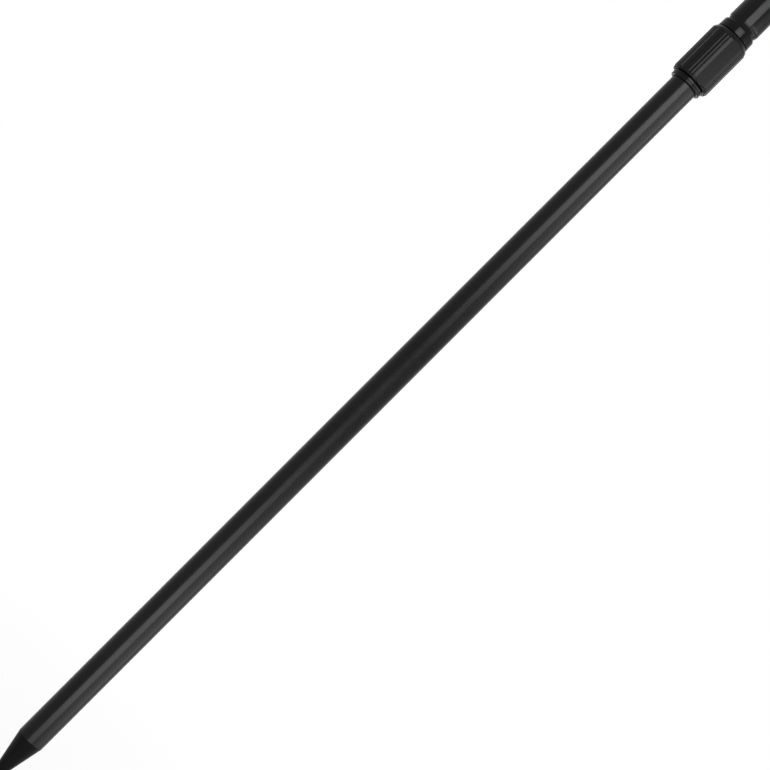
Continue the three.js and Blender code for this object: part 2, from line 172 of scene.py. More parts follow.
def turn(name, outline, segments=144):
    """Turns a piece as on a lathe: a ring is raised and resized from point to point of an outline of radius
    and height in millimetres. An outline that starts or ends on the axis is closed there by a pole, and one
    that ends where it starts is closed on itself."""
    (radius, height), *rest = [(r * MM, z * MM) for r, z in outline]
    pole_below = radius == 0
    if pole_below:
        (radius, height), *rest = rest
    bpy.ops.object.select_all(action="DESELECT")
    bpy.ops.mesh.primitive_circle_add(vertices=segments, radius=radius, location=(0, 0, height))
    made = bpy.context.object
    made.name = name
    bpy.ops.object.transform_apply(location=True, rotation=True, scale=True)
    bpy.ops.object.mode_set(mode="EDIT")
    bpy.ops.mesh.select_all(action="SELECT")
    if pole_below:
        bpy.ops.mesh.extrude_region_move(TRANSFORM_OT_translate={"value": (0, 0, outline[0][1] * MM - height)})
        bpy.ops.mesh.merge(type="CENTER")
        bm = bmesh.from_edit_mesh(made.data)
        for vertex in bm.verts:
            vertex.select = math.hypot(vertex.co.x, vertex.co.y) > radius / 2
        bm.select_flush(True)
        bm.select_flush(False)
        bmesh.update_edit_mesh(made.data)
    for next_radius, next_height in rest:
        rise = {"value": (0, 0, next_height - height)}
        bpy.ops.mesh.extrude_region_move(TRANSFORM_OT_translate=rise)
        if next_radius == 0:
            bpy.ops.mesh.merge(type="CENTER")
        elif next_radius != radius:
            size = next_radius / radius
            bpy.ops.transform.resize(value=(size, size, 1), center_override=(0, 0, next_height))
        radius, height = next_radius, next_height
    bpy.ops.mesh.select_all(action="SELECT")
    bpy.ops.mesh.remove_doubles(threshold=same_place * MM)
    bpy.ops.mesh.normals_make_consistent(inside=False)
    bpy.ops.object.mode_set(mode="OBJECT")
    return made


def clean(piece):
    """Merges corners that lie within a hair of each other and drops the slivers between them."""
    bpy.ops.object.select_all(action="DESELECT")
    piece.select_set(True)
    bpy.context.view_layer.objects.active = piece
    bpy.ops.object.mode_set(mode="EDIT")
    bpy.ops.mesh.select_all(action="SELECT")
    bpy.ops.mesh.remove_doubles(threshold=same_place * MM)
    bpy.ops.mesh.dissolve_degenerate(threshold=same_place * MM)
    bpy.ops.object.mode_set(mode="OBJECT")


def soften(piece, width, least_angle=25):
    """Breaks a turned piece's edges by a small bevel and shades it smooth."""
    bpy.ops.object.select_all(action="DESELECT")
    piece.select_set(True)
    bpy.context.view_layer.objects.active = piece
    bevel = piece.modifiers.new("broken_edges", "BEVEL")
    bevel.width = width * MM
    bevel.segments = 3
    bevel.limit_method = "ANGLE"
    bevel.angle_limit = math.radians(least_angle)
    bevel.use_clamp_overlap = True
    bpy.ops.object.modifier_apply(modifier=bevel.name)
    clean(piece)
    bpy.ops.object.shade_smooth_by_angle(angle=smooth_below)
    evened = piece.modifiers.new("even_shading", "WEIGHTED_NORMAL")
    evened.keep_sharp = True
    bpy.ops.object.modifier_apply(modifier=evened.name)


def arc(centre_radius, centre_height, width, height, start, end, steps=8):
    """Points of a quarter of an ellipse of an outline, from one angle to another in degrees."""
    points = []
    for step in range(steps + 1):
        angle = math.radians(start + (end - start) * step / steps)
        points.append((centre_radius + width * math.cos(angle), centre_height + height * math.sin(angle)))
    return points


def shader_group(name, inputs, outputs):
    """An empty group of shader nodes with its sockets."""
    group = bpy.data.node_groups.new(name, "ShaderNodeTree")
    for label, value in inputs.items():
        socket = group.interface.new_socket(name=label, in_out="INPUT", socket_type="NodeSocketFloat")
        socket.default_value = value
    for label in outputs:
        group.interface.new_socket(name=label, in_out="OUTPUT", socket_type="NodeSocketFloat")
    return group, group.nodes.new("NodeGroupInput"), group.nodes.new("NodeGroupOutput")


def stretched_noise(nodes, links, stretch, detail=2):
    """Noise on the piece's own coordinates in millimetres, with a scale for each axis."""
    place = nodes.new("ShaderNodeTexCoord")
    scaled = nodes.new("ShaderNodeVectorMath")
    scaled.operation = "MULTIPLY"
    scaled.inputs[1].default_value = [share / MM for share in stretch]
    links.new(place.outputs["Object"], scaled.inputs[0])
    noise = nodes.new("ShaderNodeTexNoise")
    noise.inputs["Scale"].default_value = 1
    noise.inputs["Detail"].default_value = detail
    links.new(scaled.outputs[0], noise.inputs["Vector"])
    return noise.outputs["Fac"]


def number(nodes, links, operation, first, second, third=None):
    """One sum of the shader: each term is a plain number or the outlet of another node."""
    node = nodes.new("ShaderNodeMath")
    node.operation = operation
    for place, term in enumerate((first, second, third)):
        if term is None:
            continue
        if isinstance(term, (int, float)):
            node.inputs[place].default_value = term
        else:
            links.new(term, node.inputs[place])
    return node.outputs[0]


# Rings that a lathe tool leaves: a fine pitch, and a coarser chatter that comes and goes
turning_marks, inlet, outlet = shader_group("turning_marks", {"Coarse": 0.3}, ["Height"])
inside, wires = turning_marks.nodes, turning_marks.links
fine_rings = stretched_noise(inside, wires, (0.02, 0.02, 9))
coarse_rings = stretched_noise(inside, wires, (0.05, 0.05, 1.3))
coarse_part = number(inside, wires, "MULTIPLY", coarse_rings, inlet.outputs["Coarse"])
wires.new(number(inside, wires, "ADD", fine_rings, coarse_part), outlet.inputs["Height"])

# Clouds of slightly different gloss, such as anodising and handling leave: one broad and one close
clouds, inlet, outlet = shader_group("clouds", {"Least": 0.3, "Most": 0.4}, ["Roughness", "Mask"])
inside, wires = clouds.nodes, clouds.links
broad = stretched_noise(inside, wires, (0.035, 0.035, 0.02), 3)
close = stretched_noise(inside, wires, (0.4, 0.4, 0.25), 3)
mixed = number(inside, wires, "MULTIPLY_ADD", close, 0.4, number(inside, wires, "MULTIPLY", broad, 0.6))
spread = inside.new("ShaderNodeMapRange")
spread.inputs["From Min"].default_value = 0.35
spread.inputs["From Max"].default_value = 0.65
wires.new(mixed, spread.inputs["Value"])
wires.new(spread.outputs[0], outlet.inputs["Mask"])
gloss = inside.new("ShaderNodeMapRange")
wires.new(spread.outputs[0], gloss.inputs["Value"])
wires.new(inlet.outputs["Least"], gloss.inputs["To Min"])
wires.new(inlet.outputs["Most"], gloss.inputs["To Max"])
wires.new(gloss.outputs[0], outlet.inputs["Roughness"])

# Lighter where an edge stands proud, partly wear and partly a painted highlight of the light that the edge catches:
# the surface turns against a rounded copy of itself
edge_rub_and_highlight, inlet, outlet = shader_group("edge_rub_and_highlight", {"Reach": 0.15, "Amount": 1.0}, ["Mask"])
inside, wires = edge_rub_and_highlight.nodes, edge_rub_and_highlight.links
rounded = inside.new("ShaderNodeBevel")
rounded.samples = 4
wires.new(number(inside, wires, "MULTIPLY", inlet.outputs["Reach"], MM), rounded.inputs["Radius"])
facing = inside.new("ShaderNodeNewGeometry")
agreement = inside.new("ShaderNodeVectorMath")
agreement.operation = "DOT_PRODUCT"
wires.new(rounded.outputs[0], agreement.inputs[0])
wires.new(facing.outputs["Normal"], agreement.inputs[1])
edge = inside.new("ShaderNodeMapRange")
edge.inputs["From Min"].default_value = 0.995
edge.inputs["From Max"].default_value = 0.9
wires.new(agreement.outputs["Value"], edge.inputs["Value"])
patchy = stretched_noise(inside, wires, (1.2, 1.2, 1.2), 3)
patchy_rub_highlight = number(inside, wires, "MULTIPLY", edge.outputs[0], patchy)
wires.new(number(inside, wires, "MULTIPLY", patchy_rub_highlight, inlet.outputs["Amount"]), outlet.inputs["Mask"])


def finish(name, colour, specular, metallic=0.0):
    """A new material with the numbers that are the same all over it."""
    made = bpy.data.materials.new(name)
    made.use_nodes = True
    shader = made.node_tree.nodes["Principled BSDF"]
    shader.inputs["Base Color"].default_value = (*colour, 1)
    shader.inputs["Specular IOR Level"].default_value = specular
    shader.inputs["Metallic"].default_value = metallic
    return made, made.node_tree.nodes, made.node_tree.links, shader


def effect(nodes, group, **values):
    """Places a shared effect in a material with its own values."""
    node = nodes.new("ShaderNodeGroup")
    node.node_tree = group
    for label, value in values.items():
        node.inputs[label].default_value = value
    return node


def two_colours(nodes, links, shader, mask, first, second):
    """Colours a material between two colours by a mask."""
    mix = nodes.new("ShaderNodeMix")
    mix.data_type = "RGBA"
    mix.inputs["A"].default_value = (*first, 1)
    mix.inputs["B"].default_value = (*second, 1)
    links.new(mask, mix.inputs["Factor"])
    links.new(mix.outputs["Result"], shader.inputs["Base Color"])


def relief(nodes, links, shader, height, depth):
    """Raises a material's surface by a height between 0 and 1, times a depth in millimetres."""
    bump = nodes.new("ShaderNodeBump")
    bump.inputs["Distance"].default_value = depth * MM
    links.new(height, bump.inputs["Height"])
    links.new(bump.outputs["Normal"], shader.inputs["Normal"])


def wear(piece, paint, body, slot, *nodes):
    """Gives a finished piece its material and its body, and hides the nodes that it stands for. Its slot is not used.
    """
    piece.data.materials.append(paint)
    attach(piece, body)
    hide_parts(*nodes)


point_black, nodes, links, shader = finish("point_black", (0.0008, 0.0008, 0.0009), 0.075)
rings = effect(nodes, turning_marks, Coarse=0.6)
relief(nodes, links, shader, rings.outputs["Height"], 0.0015)
haze = effect(nodes, clouds, Least=0.34, Most=0.5)
links.new(haze.outputs["Roughness"], shader.inputs["Roughness"])
# Lighter tip and edges: partly rubbed, partly a painted highlight of the edges catching the light
rubbing_and_highlight = effect(nodes, edge_rub_and_highlight, Reach=0.2, Amount=0.8)
two_colours(nodes, links, shader, rubbing_and_highlight.outputs["Mask"], (0.0008, 0.0008, 0.0009), (0.03, 0.03, 0.03))

point = turn("point", [
    (0, 0),
    *arc(0, point_tip_radius, point_tip_radius, point_tip_radius, -70, 0, 5),
    (outer_tube_radius, point_length),
    (point_spigot_radius, point_length),
    (point_spigot_radius, point_spigot_top - point_spigot_bevel),
    (point_spigot_radius - point_spigot_bevel, point_spigot_top),
    (0, point_spigot_top),
])
soften(point, 0.06)
wear(point, point_black, "root", "point_black", "spike_point")

# ---- Outer tube: drawn aluminium tube, anodised satin black. Draw lines run along it, its gloss is a little
# cloudy, and its cut ends sit flush on the point below and in the gland above.
outer_tube_foot, outer_tube_top = (corner.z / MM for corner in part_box("outer_tube"))
outer_tube_bore = 7

draw_lines, inlet, outlet = shader_group("draw_lines", {"Coarse": 0.5}, ["Height"])
inside, wires = draw_lines.nodes, draw_lines.links
fine_lines = stretched_noise(inside, wires, (7, 7, 0.012))
coarse_lines = stretched_noise(inside, wires, (1.6, 1.6, 0.004))
coarse_part = number(inside, wires, "MULTIPLY", coarse_lines, inlet.outputs["Coarse"])
wires.new(number(inside, wires, "ADD", fine_lines, coarse_part), outlet.inputs["Height"])

tube_black, nodes, links, shader = finish("tube_black", (0.002, 0.002, 0.0022), 0.155)
lines = effect(nodes, draw_lines, Coarse=0.6)
relief(nodes, links, shader, lines.outputs["Height"], 0.0008)
haze = effect(nodes, clouds, Least=0.21, Most=0.27)
links.new(haze.outputs["Roughness"], shader.inputs["Roughness"])
two_colours(nodes, links, shader, haze.outputs["Mask"], (0.001, 0.001, 0.0012), (0.0025, 0.0025, 0.0027))


def drawn_tube(name, radius, bore, foot, top, ring_spacing=20):
    """A plain tube with rings along it, so that its long faces stay well shaped."""
    spans = round((top - foot) / ring_spacing)
    heights = [foot + (top - foot) * ring / spans for ring in range(spans + 1)]
    outside = [(radius, height) for height in heights]
    within = [(bore, height) for height in reversed(heights)]
    return turn(name, [(bore, foot), *outside, *within])


lower_tube = drawn_tube("lower_tube", outer_tube_radius, outer_tube_bore, outer_tube_foot, outer_tube_top)
soften(lower_tube, 0.08)
wear(lower_tube, tube_black, "root", "tube_black", "outer_tube")

# ---- Gland: turned aluminium collar, anodised black and bonded on the upper end of the outer tube. Its flange,
# with broken edges and a fine groove round it, shows below the grip, and the rest carries the lock's thread.
gland_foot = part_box("lock_gland")[0].z / MM
gland_bore = 8.3
gland_root = 8.9
gland_pass = 6.3
gland_chamber = 7.9
gland_mouth = 8.5
flange_radius = 9.725
flange_height = 3.1
flange_round = 0.6
flange_top_bevel = 0.2
flange_groove_depth = 0.4
flange_groove_foot = 1.3
flange_groove_top = 1.8
gland_socket_depth = 15.4
gland_shoulder_top = 17
gland_mouth_foot = 19.8
gland_top = 21

collar_black, nodes, links, shader = finish("collar_black", (0.0012, 0.0013, 0.0016), 0.12)
rings = effect(nodes, turning_marks, Coarse=0.4)
relief(nodes, links, shader, rings.outputs["Height"], 0.001)
haze = effect(nodes, clouds, Least=0.15, Most=0.21)
links.new(haze.outputs["Roughness"], shader.inputs["Roughness"])
# Lighter edges: partly rubbed, partly a painted highlight of the edges catching the light
rubbing_and_highlight = effect(nodes, edge_rub_and_highlight, Reach=0.12, Amount=0.7)
two_colours(nodes, links, shader, rubbing_and_highlight.outputs["Mask"], (0.0012, 0.0013, 0.0016), (0.02, 0.02, 0.022))

gland = turn("gland", [(radius, gland_foot + height) for radius, height in [
    (gland_bore, 0),
    *arc(flange_radius - flange_round, flange_round, flange_round, flange_round, -90, 0, 6),
    (flange_radius, flange_groove_foot),
    (flange_radius - flange_groove_depth, flange_groove_foot),
    (flange_radius - flange_groove_depth, flange_groove_top),
    (flange_radius, flange_groove_top),
    (flange_radius, flange_height - flange_top_bevel),
    (flange_radius - flange_top_bevel, flange_height),
    (gland_root, flange_height),
    (gland_root, gland_top),
    (gland_mouth, gland_top),
    (gland_chamber, gland_mouth_foot),
    (gland_chamber, gland_shoulder_top),
    (gland_pass, gland_shoulder_top),
    (gland_pass, gland_socket_depth),
    (gland_bore, gland_socket_depth),
    (gland_bore, 0),
]])
soften(gland, 0.05, 40)


def winding(name, section, pitch, foot, turns, steps=72):
    """A right-hand helical bar with closed ends. Its section is a list of radii and heights, and its foot is
    the height where it starts, on the X axis."""
    bpy.ops.object.select_all(action="DESELECT")
    centre = (section[0][0] * MM, 0, foot * MM)
    bpy.ops.mesh.primitive_circle_add(vertices=len(section), radius=MM, location=centre, rotation=(math.pi / 2, 0, 0))
    bar = bpy.context.object
    bar.name = name
    bpy.ops.object.transform_apply(location=True, rotation=True, scale=True)
    bpy.ops.object.mode_set(mode="EDIT")
    for index, (radius, height) in enumerate(section):
        bpy.ops.mesh.select_all(action="DESELECT")
        bm = bmesh.from_edit_mesh(bar.data)
        bm.verts.ensure_lookup_table()
        corner = bm.verts[index]
        corner.select = True
        move = (radius * MM - corner.co.x, -corner.co.y, (foot + height) * MM - corner.co.z)
        bmesh.update_edit_mesh(bar.data)
        bpy.ops.transform.translate(value=move)
    bpy.ops.object.mode_set(mode="OBJECT")
    screw = bar.modifiers.new("winding", "SCREW")
    screw.axis = "Z"
    screw.angle = math.radians(360 * turns)
    screw.screw_offset = pitch * MM * turns
    screw.steps = screw.render_steps = round(steps * turns)
    screw.use_merge_vertices = False
    bpy.ops.object.modifier_apply(modifier=screw.name)
    bpy.ops.object.mode_set(mode="EDIT")
    bpy.ops.mesh.select_all(action="SELECT")
    bpy.ops.mesh.fill_holes(sides=0)
    bpy.ops.mesh.select_all(action="SELECT")
    bpy.ops.mesh.normals_make_consistent(inside=False)
    bpy.ops.object.mode_set(mode="OBJECT")
    return bar


def combine(piece, other, operation):
    """Joins another solid to a piece, or cuts the piece with it, and clears the other away."""
    bpy.ops.object.select_all(action="DESELECT")
    piece.select_set(True)
    bpy.context.view_layer.objects.active = piece
    meeting = piece.modifiers.new("meeting", "BOOLEAN")
    meeting.operation = operation
    meeting.solver = "EXACT"
    meeting.object = other
    bpy.ops.object.modifier_apply(modifier=meeting.name)
    bpy.data.objects.remove(other)
    clean(piece)
    bpy.ops.object.shade_smooth_by_angle(angle=smooth_below)


# The thread's ridge, which reaches a little into the wall so that the two join
thread_foot = 5.5
thread_pitch = 2
thread_turns = 4.45
thread_depth = 0.6
thread_overlap = 0.3
thread_half_root = 0.55
thread_half_crest = 0.2
combine(gland, winding("gland_thread", [
    (gland_root - thread_overlap, -thread_half_root),
    (gland_root, -thread_half_root),
    (gland_root + thread_depth, -thread_half_crest),
    (gland_root + thread_depth, thread_half_crest),
    (gland_root, thread_half_root),
    (gland_root - thread_overlap, thread_half_root),
], thread_pitch, gland_foot + thread_foot, thread_turns), "UNION")
wear(gland, collar_black, "root", "turned_black", "lock_gland")

# ---- Collet: split acetal sleeve that stands in the gland and grips the inner tube when the nut pushes on its
# cone. It was turned, then slit into fingers; one slit goes right through so that it can close.
collet_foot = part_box("collet")[0].z / MM
collet_bore = 6.3
collet_stem = 7.6
collet_seat = 2.8
collet_collar = 8.6
collet_collar_foot = 4.8
collet_cone_foot = 9.2
collet_nose = 7.3
collet_cone_top = 12.4
collet_height = 13.4
slit_width = 1
slit_count = 6
slit_floor = 3
cut_overrun = 1

acetal, nodes, links, shader = finish("acetal", (0.68, 0.66, 0.6), 0.45)
rings = effect(nodes, turning_marks, Coarse=0.5)
relief(nodes, links, shader, rings.outputs["Height"], 0.003)
haze = effect(nodes, clouds, Least=0.32, Most=0.45)
links.new(haze.outputs["Roughness"], shader.inputs["Roughness"])
two_colours(nodes, links, shader, haze.outputs["Mask"], (0.64, 0.62, 0.55), (0.72, 0.7, 0.65))


def block(name, low, high):
    """A plain cutting block between two corners in millimetres."""
    middle = [(a + b) / 2 * MM for a, b in zip(low, high)]
    size = [(b - a) * MM for a, b in zip(low, high)]
    bpy.ops.object.select_all(action="DESELECT")
    bpy.ops.mesh.primitive_cube_add(size=1, location=middle)
    cutter = bpy.context.object
    cutter.name = name
    bpy.ops.object.mode_set(mode="EDIT")
    bpy.ops.mesh.select_all(action="SELECT")
    bpy.ops.transform.resize(value=size, center_override=middle)
    bpy.ops.object.mode_set(mode="OBJECT")
    bpy.ops.object.transform_apply(location=True, rotation=True, scale=True)
    return cutter


collet = turn("collet_sleeve", [(radius, collet_foot + height) for radius, height in [
    (collet_bore, 0),
    (collet_stem, 0),
    (collet_stem, collet_seat),
    (collet_collar, collet_collar_foot),
    (collet_collar, collet_cone_foot),
    (collet_nose, collet_cone_top),
    (collet_nose, collet_height),
    (collet_bore, collet_height),
    (collet_bore, 0),
]])
soften(collet, 0.12)
for slit in range(slit_count):
    floor_height = -cut_overrun if slit == 0 else slit_floor
    knife = block(
        "slit",
        (collet_bore - cut_overrun, -slit_width / 2, collet_foot + floor_height),
        (collet_collar + cut_overrun, slit_width / 2, collet_foot + collet_height + cut_overrun),
    )
    knife.rotation_euler.z = 2 * math.pi * slit / slit_count
    bpy.ops.object.transform_apply(location=True, rotation=True, scale=True)
    combine(collet, knife, "DIFFERENCE")
wear(collet, acetal, "root", "acetal", "collet")

# ---- Thrust ring: acetal ring inside the nut, which is pushed down over the collet's cone without turning.
# It was turned, with a cone in its foot and a relieved back that the nut's shoulder slides on.
ring_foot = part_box("thrust_ring")[0].z / MM
ring_height = 3.8
ring_rim = 8.9
ring_mouth = 8.453
ring_bore = 7.6
ring_cone_top = 2.1
ring_back_step = 0.35
ring_back_width = 0.5

push_ring = turn("push_ring", [(radius, ring_foot + height) for radius, height in [
    (ring_mouth, 0),
    (ring_rim, 0),
    (ring_rim, ring_height - ring_back_step),
    (ring_rim - ring_back_width, ring_height),
    (ring_bore, ring_height),
    (ring_bore, ring_cone_top),
    (ring_mouth, 0),
]])
soften(push_ring, 0.1)
wear(push_ring, acetal, "clamp_ring", "acetal", "thrust_ring")

# ---- Wiper: moulded rubber ring in a pocket of the nut. Its two lips run close to the inner tube and keep
# grit and water off the lock.
wiper_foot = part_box("wiper_seal")[0].z / MM
wiper_height = 2.2
wiper_radius = 7.7
wiper_bore = 6.3
wiper_lip = 0.35
wiper_waist = 6.75
wiper_waist_foot = 0.8
wiper_waist_top = 1.4
wiper_round = 0.25

moulded_grain, inlet, outlet = shader_group("moulded_grain", {"Coarse": 0.5}, ["Height"])
inside, wires = moulded_grain.nodes, moulded_grain.links
fine_grain = stretched_noise(inside, wires, (7, 7, 7), 1)
coarse_grain = stretched_noise(inside, wires, (2.2, 2.2, 2.2), 1)
coarse_part = number(inside, wires, "MULTIPLY", coarse_grain, inlet.outputs["Coarse"])
wires.new(number(inside, wires, "ADD", fine_grain, coarse_part), outlet.inputs["Height"])

rubber, nodes, links, shader = finish("rubber", (0.012, 0.012, 0.0125), 0.25)
grain = effect(nodes, moulded_grain, Coarse=0.8)
relief(nodes, links, shader, grain.outputs["Height"], 0.006)
haze = effect(nodes, clouds, Least=0.58, Most=0.74)
links.new(haze.outputs["Roughness"], shader.inputs["Roughness"])
two_colours(nodes, links, shader, haze.outputs["Mask"], (0.009, 0.009, 0.0095), (0.018, 0.018, 0.0185))

wiper = turn("wiper", [(radius, wiper_foot + height) for radius, height in [
    (wiper_bore, wiper_lip),
    (wiper_bore + wiper_lip, 0),
    (wiper_radius - wiper_round, 0),
    (wiper_radius, wiper_round),
    (wiper_radius, wiper_height - wiper_round),
    (wiper_radius - wiper_round, wiper_height),
    (wiper_bore + wiper_lip, wiper_height),
    (wiper_bore, wiper_height - wiper_lip),
    (wiper_waist, wiper_waist_top),
    (wiper_waist, wiper_waist_foot),
    (wiper_bore, wiper_lip),
]])
soften(wiper, 0.08)
wear(wiper, rubber, "lock_nut", "seal_rubber", "wiper_seal")

# ---- Nut core: nut of smooth black plastic, moulded with the lock's thread inside. The grip is moulded round it,
# and its nose stands above the grip, with a crowned top and a pocket that the head's boss drops into.
core_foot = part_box("nut_core")[0].z / MM
core_bore = 9.2
core_lead = 1.2
core_radius = 10.6
core_neck = 9.85
core_neck_foot = 29.75
core_seat = 28.3
core_pass = 6.4
wiper_pocket = 8
wiper_pocket_foot = 30.3
wiper_pocket_top = 33.1
seam_foot = 31.9
seam_floor = 9.25
seam_floor_height = 32.55
nose_radius = 10.25
nose_foot = 32.8
nose_top = 38.3
nose_draft = 0.09
nose_crown_height = 1.5
nose_crown_width = 0.95
boss_pocket = 9
boss_pocket_floor = 35.4

nut_black, nodes, links, shader = finish("nut_black", (0.0008, 0.0008, 0.0009), 0.125)
grain = effect(nodes, moulded_grain, Coarse=0.4)
relief(nodes, links, shader, grain.outputs["Height"], 0.001)
haze = effect(nodes, clouds, Least=0.11, Most=0.15)
links.new(haze.outputs["Roughness"], shader.inputs["Roughness"])
two_colours(nodes, links, shader, haze.outputs["Mask"], (0.0005, 0.0005, 0.0006), (0.0012, 0.0012, 0.0013))

crown = (nose_radius - nose_draft - nose_crown_width, nose_top - nose_crown_height)
nut = turn("nut", [(radius, core_foot + height) for radius, height in [
    (core_bore, core_lead),
    (core_bore + core_lead, 0),
    (core_radius, 0),
    (core_radius, core_neck_foot),
    (core_neck, core_neck_foot),
    (core_neck, seam_foot),
    (seam_floor, seam_floor_height),
    (nose_radius, nose_foot),
    *arc(*crown, nose_crown_width, nose_crown_height, 0, 90),
    (boss_pocket, nose_top),
    (boss_pocket, boss_pocket_floor),
    (core_pass, boss_pocket_floor),
    (core_pass, wiper_pocket_top),
    (wiper_pocket, wiper_pocket_top),
    (wiper_pocket, wiper_pocket_foot),
    (core_pass, wiper_pocket_foot),
    (core_pass, core_seat),
    (core_bore, core_seat),
    (core_bore, core_lead),
]])
soften(nut, 0.1)

# The groove that the gland's thread runs in, a little wider than the thread and open at the nut's foot
groove_lead = 2
groove_run_out = 0.5
groove_turns = thread_turns + groove_lead + groove_run_out
groove_play = 0.125
groove_clearance = 0.3
groove_half_mouth = thread_half_root + groove_play
groove_half_floor = thread_half_crest + groove_play
groove_floor = gland_root + thread_depth + groove_clearance
combine(nut, winding("nut_thread", [
    (core_bore - thread_overlap, -groove_half_mouth),
    (core_bore, -groove_half_mouth),
    (groove_floor, -groove_half_floor),
    (groove_floor, groove_half_floor),
    (core_bore, groove_half_mouth),
    (core_bore - thread_overlap, groove_half_mouth),
], thread_pitch, gland_foot + thread_foot - groove_lead * thread_pitch, groove_turns), "DIFFERENCE")
wear(nut, nut_black, "lock_nut", "nut_black", "nut_core")

# ---- Grip: matt black plastic sleeve moulded on the nut. Its foot is chamfered and its top bevelled, and three
# fields of lengthwise grooves, with rounded ribs between them, alternate with smooth, slightly flattened lands.
grip_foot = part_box("grip_sleeve")[0].z / MM
grip_radius = 11.85
grip_bore = 10.85
grip_length = 32
grip_foot_radius = 11.25
grip_foot_height = 1.4
grip_foot_easing = (0.12, 0.3)
grip_foot_recess = 0.4
grip_bevel_foot = 29.5
grip_lip_radius = 10.4
grip_lip_bore = 10.1
grip_lip_foot = 29.9
grip_bevel_steps = 6
grip_ring_heights = (3, 6, 12, 18, 24, 27.5, 29)
grip_segments = 720
field_angle = -37.7
field_count = 3
groove_angles = (9.9, 19.3, 29.8)
groove_depths = (0.5, 0.31, 0.28)
rib_angles = (12.4, 24)
ridge_angle = 36.6
ridge_side = 4
ridge_reach = 8.6
ridge_fall = 0.21
land_reach = 13.5
land_dip = 0.54

grip_black, nodes, links, shader = finish("grip_black", (0.0018, 0.0018, 0.002), 0.13)
grain = effect(nodes, moulded_grain, Coarse=0.7)
relief(nodes, links, shader, grain.outputs["Height"], 0.002)
haze = effect(nodes, clouds, Least=0.23, Most=0.29)
links.new(haze.outputs["Roughness"], shader.inputs["Roughness"])
two_colours(nodes, links, shader, haze.outputs["Mask"], (0.0008, 0.0008, 0.001), (0.0018, 0.0018, 0.002))


def groove_at(angle):
    """Depth of the grooves at an angle round the grip, in degrees from the camera towards the right."""
    half_field = 180 / field_count
    offset = abs((angle - field_angle + half_field) % (2 * half_field) - half_field)
    past_ridge = offset - ridge_angle
    if offset <= rib_angles[0]:
        depth = groove_depths[0] * min(1, (rib_angles[0] - offset) / (rib_angles[0] - groove_angles[0]))
    elif offset <= groove_angles[-1]:
        place = 0 if offset <= groove_angles[1] else 1
        low = place if offset < rib_angles[place] else place + 1
        share = (offset - rib_angles[place]) / (groove_angles[low] - rib_angles[place])
        depth = groove_depths[low] * share ** 4
    elif past_ridge <= ridge_reach:
        rest = max(0, 1 - (offset - groove_angles[-1]) / ridge_side)
        depth = max(ridge_fall * (past_ridge / ridge_reach) ** 2, groove_depths[-1] * rest * rest)
    else:
        rest = max(0, 1 - (past_ridge - ridge_reach) / land_reach)
        depth = land_dip - (land_dip - ridge_fall) * rest * rest
    return round(depth, 3)


top_bevel = [
    (grip_radius + (grip_lip_radius - grip_radius) * step / grip_bevel_steps,
     grip_bevel_foot + (grip_length - grip_bevel_foot) * step / grip_bevel_steps)
    for step in range(grip_bevel_steps + 1)
]
grip = turn("grip", [(radius, grip_foot + height) for radius, height in [
    (grip_bore, grip_foot_recess),
    (grip_foot_radius, 0),
    (grip_radius - grip_foot_easing[0], grip_foot_height - grip_foot_easing[1]),
    (grip_radius, grip_foot_height),
    *((grip_radius, height) for height in grip_ring_heights),
    *top_bevel,
    (grip_lip_bore, grip_length),
    (grip_lip_bore, grip_lip_foot),
    (grip_bore, grip_lip_foot),
    (grip_bore, grip_foot_recess),
]], grip_segments)

# Corners that stand above the grooves' surface are drawn in to it, all those with one depth at a time
least_cut = 0.0005
bpy.ops.object.mode_set(mode="EDIT")
bm = bmesh.from_edit_mesh(grip.data)
columns = {}
for vertex in bm.verts:
    radius = math.hypot(vertex.co.x, vertex.co.y) / MM
    angle = math.degrees(math.atan2(vertex.co.x, -vertex.co.y))
    limit = grip_radius - groove_at(angle)
    if radius > limit + least_cut:
        columns.setdefault((round(radius, 3), limit), []).append(vertex.index)
for (radius, limit), members in columns.items():
    bpy.ops.mesh.select_all(action="DESELECT")
    bm = bmesh.from_edit_mesh(grip.data)
    bm.verts.ensure_lookup_table()
    for index in members:
        bm.verts[index].select = True
    bmesh.update_edit_mesh(grip.data)
    size = limit / radius
    bpy.ops.transform.resize(value=(size, size, 1), center_override=(0, 0, 0))
bpy.ops.object.mode_set(mode="OBJECT")
soften(grip, 0.08, 50)
wear(grip, grip_black, "lock_nut", "grip_black", "grip_sleeve")

# ---- Tail bush: acetal plug bonded in the foot of the inner tube. Its collar guides the tube inside the outer
# one and stops under the gland's shoulder, and its vent lets the air past.
tail_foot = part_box("tail_bush")[0].z / MM
tail_vent = 1.5
tail_collar = 6.7
tail_collar_top = 20
tail_spigot = 4.7
tail_top = 34
tail_bevel = 0.8
tail_groove_floor = 5.4
tail_groove_height = 2.6
tail_groove_feet = (2.6, 14.8)

bush_outline = [(tail_vent, 0), (tail_collar - tail_bevel, 0), (tail_collar, tail_bevel)]
for groove_foot in tail_groove_feet:
    groove_top = groove_foot + tail_groove_height
    bush_outline += [
        (tail_collar, groove_foot),
        (tail_groove_floor, groove_foot),
        (tail_groove_floor, groove_top),
        (tail_collar, groove_top),
    ]
bush_outline += [
    (tail_collar, tail_collar_top),
    (tail_spigot, tail_collar_top),
    (tail_spigot, tail_top - tail_bevel),
    (tail_spigot - tail_bevel, tail_top),
    (tail_vent, tail_top),
    (tail_vent, 0),
]
tail_plug = turn("tail_plug", [(radius, tail_foot + height) for radius, height in bush_outline])
soften(tail_plug, 0.12)
wear(tail_plug, acetal, "upper", "acetal", "tail_bush")

# ---- Glide rings: two split acetal rings in the grooves of the tail bush, which bear on the bore of the
# outer tube. Each was cut open at one side so that it springs over the bush.
glide_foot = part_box("glide_ring_lower")[0].z / MM
glide_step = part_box("glide_ring_upper")[0].z / MM - glide_foot
glide_bore = 5.7
glide_rim = 6.75
glide_height = 2
glide_split = 1

